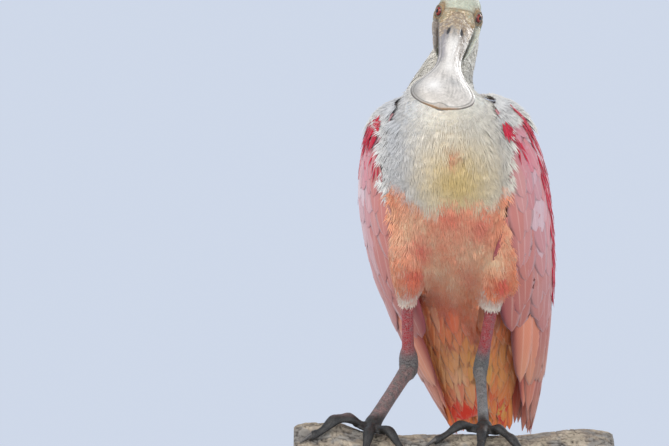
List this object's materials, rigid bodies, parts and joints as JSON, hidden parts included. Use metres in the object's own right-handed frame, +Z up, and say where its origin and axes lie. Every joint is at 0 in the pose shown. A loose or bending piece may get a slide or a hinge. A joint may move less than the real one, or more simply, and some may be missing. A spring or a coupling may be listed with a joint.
{
  "type": "roseate spoonbill",
  "caption": "Life-size still model of a roseate spoonbill gripping a cut length of branch, spoon-tipped bill lowered toward the viewer, on a flat display stand.",
  "frame": {"origin": "middle of the underside of the stand's base", "axes": "+Z up; the bird faces -Y, and its left side is +X"},
  "size_m": [0.3, 0.34, 0.5838],
  "materials": {
    "white_plumage": "soft white feathers",
    "body_plumage": "soft feathers, white on the breast and salmon below",
    "tail_plumage": "stiff orange feathers",
    "wing_plumage": "pale pink feathers with carmine edges",
    "thigh_plumage": "loose cream feathers",
    "bare_head": "bare, finely wrinkled skin",
    "bill_horn": "satin horn with fine mottling",
    "eye": "wet, clear",
    "pink_leg": "scaled skin",
    "grey_leg": "scaled skin",
    "claw_horn": "dark horn",
    "bark": "rough bark",
    "stand_base": "dark, satin",
    "stand_rod": "brushed"
  },
  "bodies": {
    "root": {"trunk": "body_plumage", "neck": "white_plumage", "head": "bare_head", "bill_upper": "bill_horn", "bill_lower": "bill_horn", "tail": "tail_plumage", "eye_left": "eye", "wing_left": "wing_plumage", "thigh_left": "thigh_plumage", "shank_left": "pink_leg", "shin_left": "grey_leg", "foot_left": "grey_leg", "claw_left_inner": "claw_horn", "claw_left_middle": "claw_horn", "claw_left_outer": "claw_horn", "claw_left_hind": "claw_horn", "eye_right": "eye", "wing_right": "wing_plumage", "thigh_right": "thigh_plumage", "shank_right": "pink_leg", "shin_right": "grey_leg", "foot_right": "grey_leg", "claw_right_inner": "claw_horn", "claw_right_middle": "claw_horn", "claw_right_outer": "claw_horn", "claw_right_hind": "claw_horn", "perch": "bark", "stand_rod_left": "stand_rod", "stand_rod_right": "stand_rod", "stand_base": "stand_base"}
  },
  "joints": []
}
